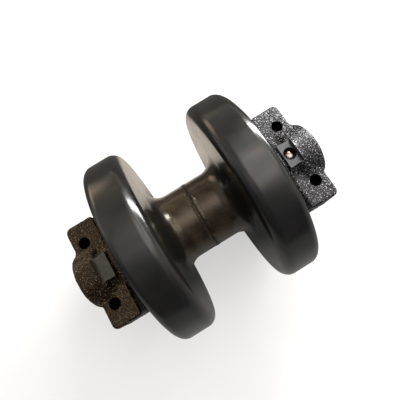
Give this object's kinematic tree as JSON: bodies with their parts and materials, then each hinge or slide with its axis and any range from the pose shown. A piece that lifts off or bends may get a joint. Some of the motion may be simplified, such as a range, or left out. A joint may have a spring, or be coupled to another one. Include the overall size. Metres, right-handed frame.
{
  "type": "track roller",
  "caption": "Double-rim bottom track roller: two wide rims on a narrow welded waist, turning on a fixed shaft held by bolt-on cast end collars.",
  "frame": {"origin": "middle of the roller, on the shaft's axis", "axes": "+X along the shaft towards the right collar, the one with the lock pin on the bolt-head side; +Z towards the side where the bolt heads seat, which faces the ground in use; +Y across, completing a right-handed frame"},
  "size_m": [0.3288, 0.24, 0.24],
  "materials": {
    "shell_paint": "satin black paint over turned and forged steel",
    "cast_paint_brown": "glossy black-brown paint over coarse cast steel",
    "cast_paint_grey": "glossy black paint over coarse cast steel, catching grey highlights",
    "ground_steel": "ground and oiled",
    "pin_steel": "bright drawn steel",
    "bronze": "sintered bronze lining",
    "seal_iron": "lapped white iron",
    "seal_rubber": "moulded nitrile rubber",
    "zinc": "yellow-passivated zinc plate",
    "copper": "annealed copper"
  },
  "bodies": {
    "axle": {"shaft": "ground_steel", "collar_left": "cast_paint_brown", "collar_right": "cast_paint_grey", "lock_pin_left": "pin_steel", "lock_pin_right": "pin_steel", "shaft_oring_left": "seal_rubber", "shaft_oring_right": "seal_rubber", "oil_plug": "zinc", "plug_washer": "copper", "seal_ring_fixed_left": "seal_iron", "seal_ring_fixed_right": "seal_iron", "toric_fixed_left": "seal_rubber", "toric_fixed_right": "seal_rubber"},
    "roller": {"shell_left": "shell_paint", "shell_right": "shell_paint", "weld_bead": "shell_paint", "bushing_left": "bronze", "bushing_right": "bronze", "seal_ring_turning_left": "seal_iron", "seal_ring_turning_right": "seal_iron", "toric_turning_left": "seal_rubber", "toric_turning_right": "seal_rubber"}
  },
  "joints": [
    {"name": "roller_spin", "type": "hinge", "parent": "axle", "child": "roller", "pos_m": [0, 0, 0], "axis": [1, 0, 0], "continuous": true}
  ]
}
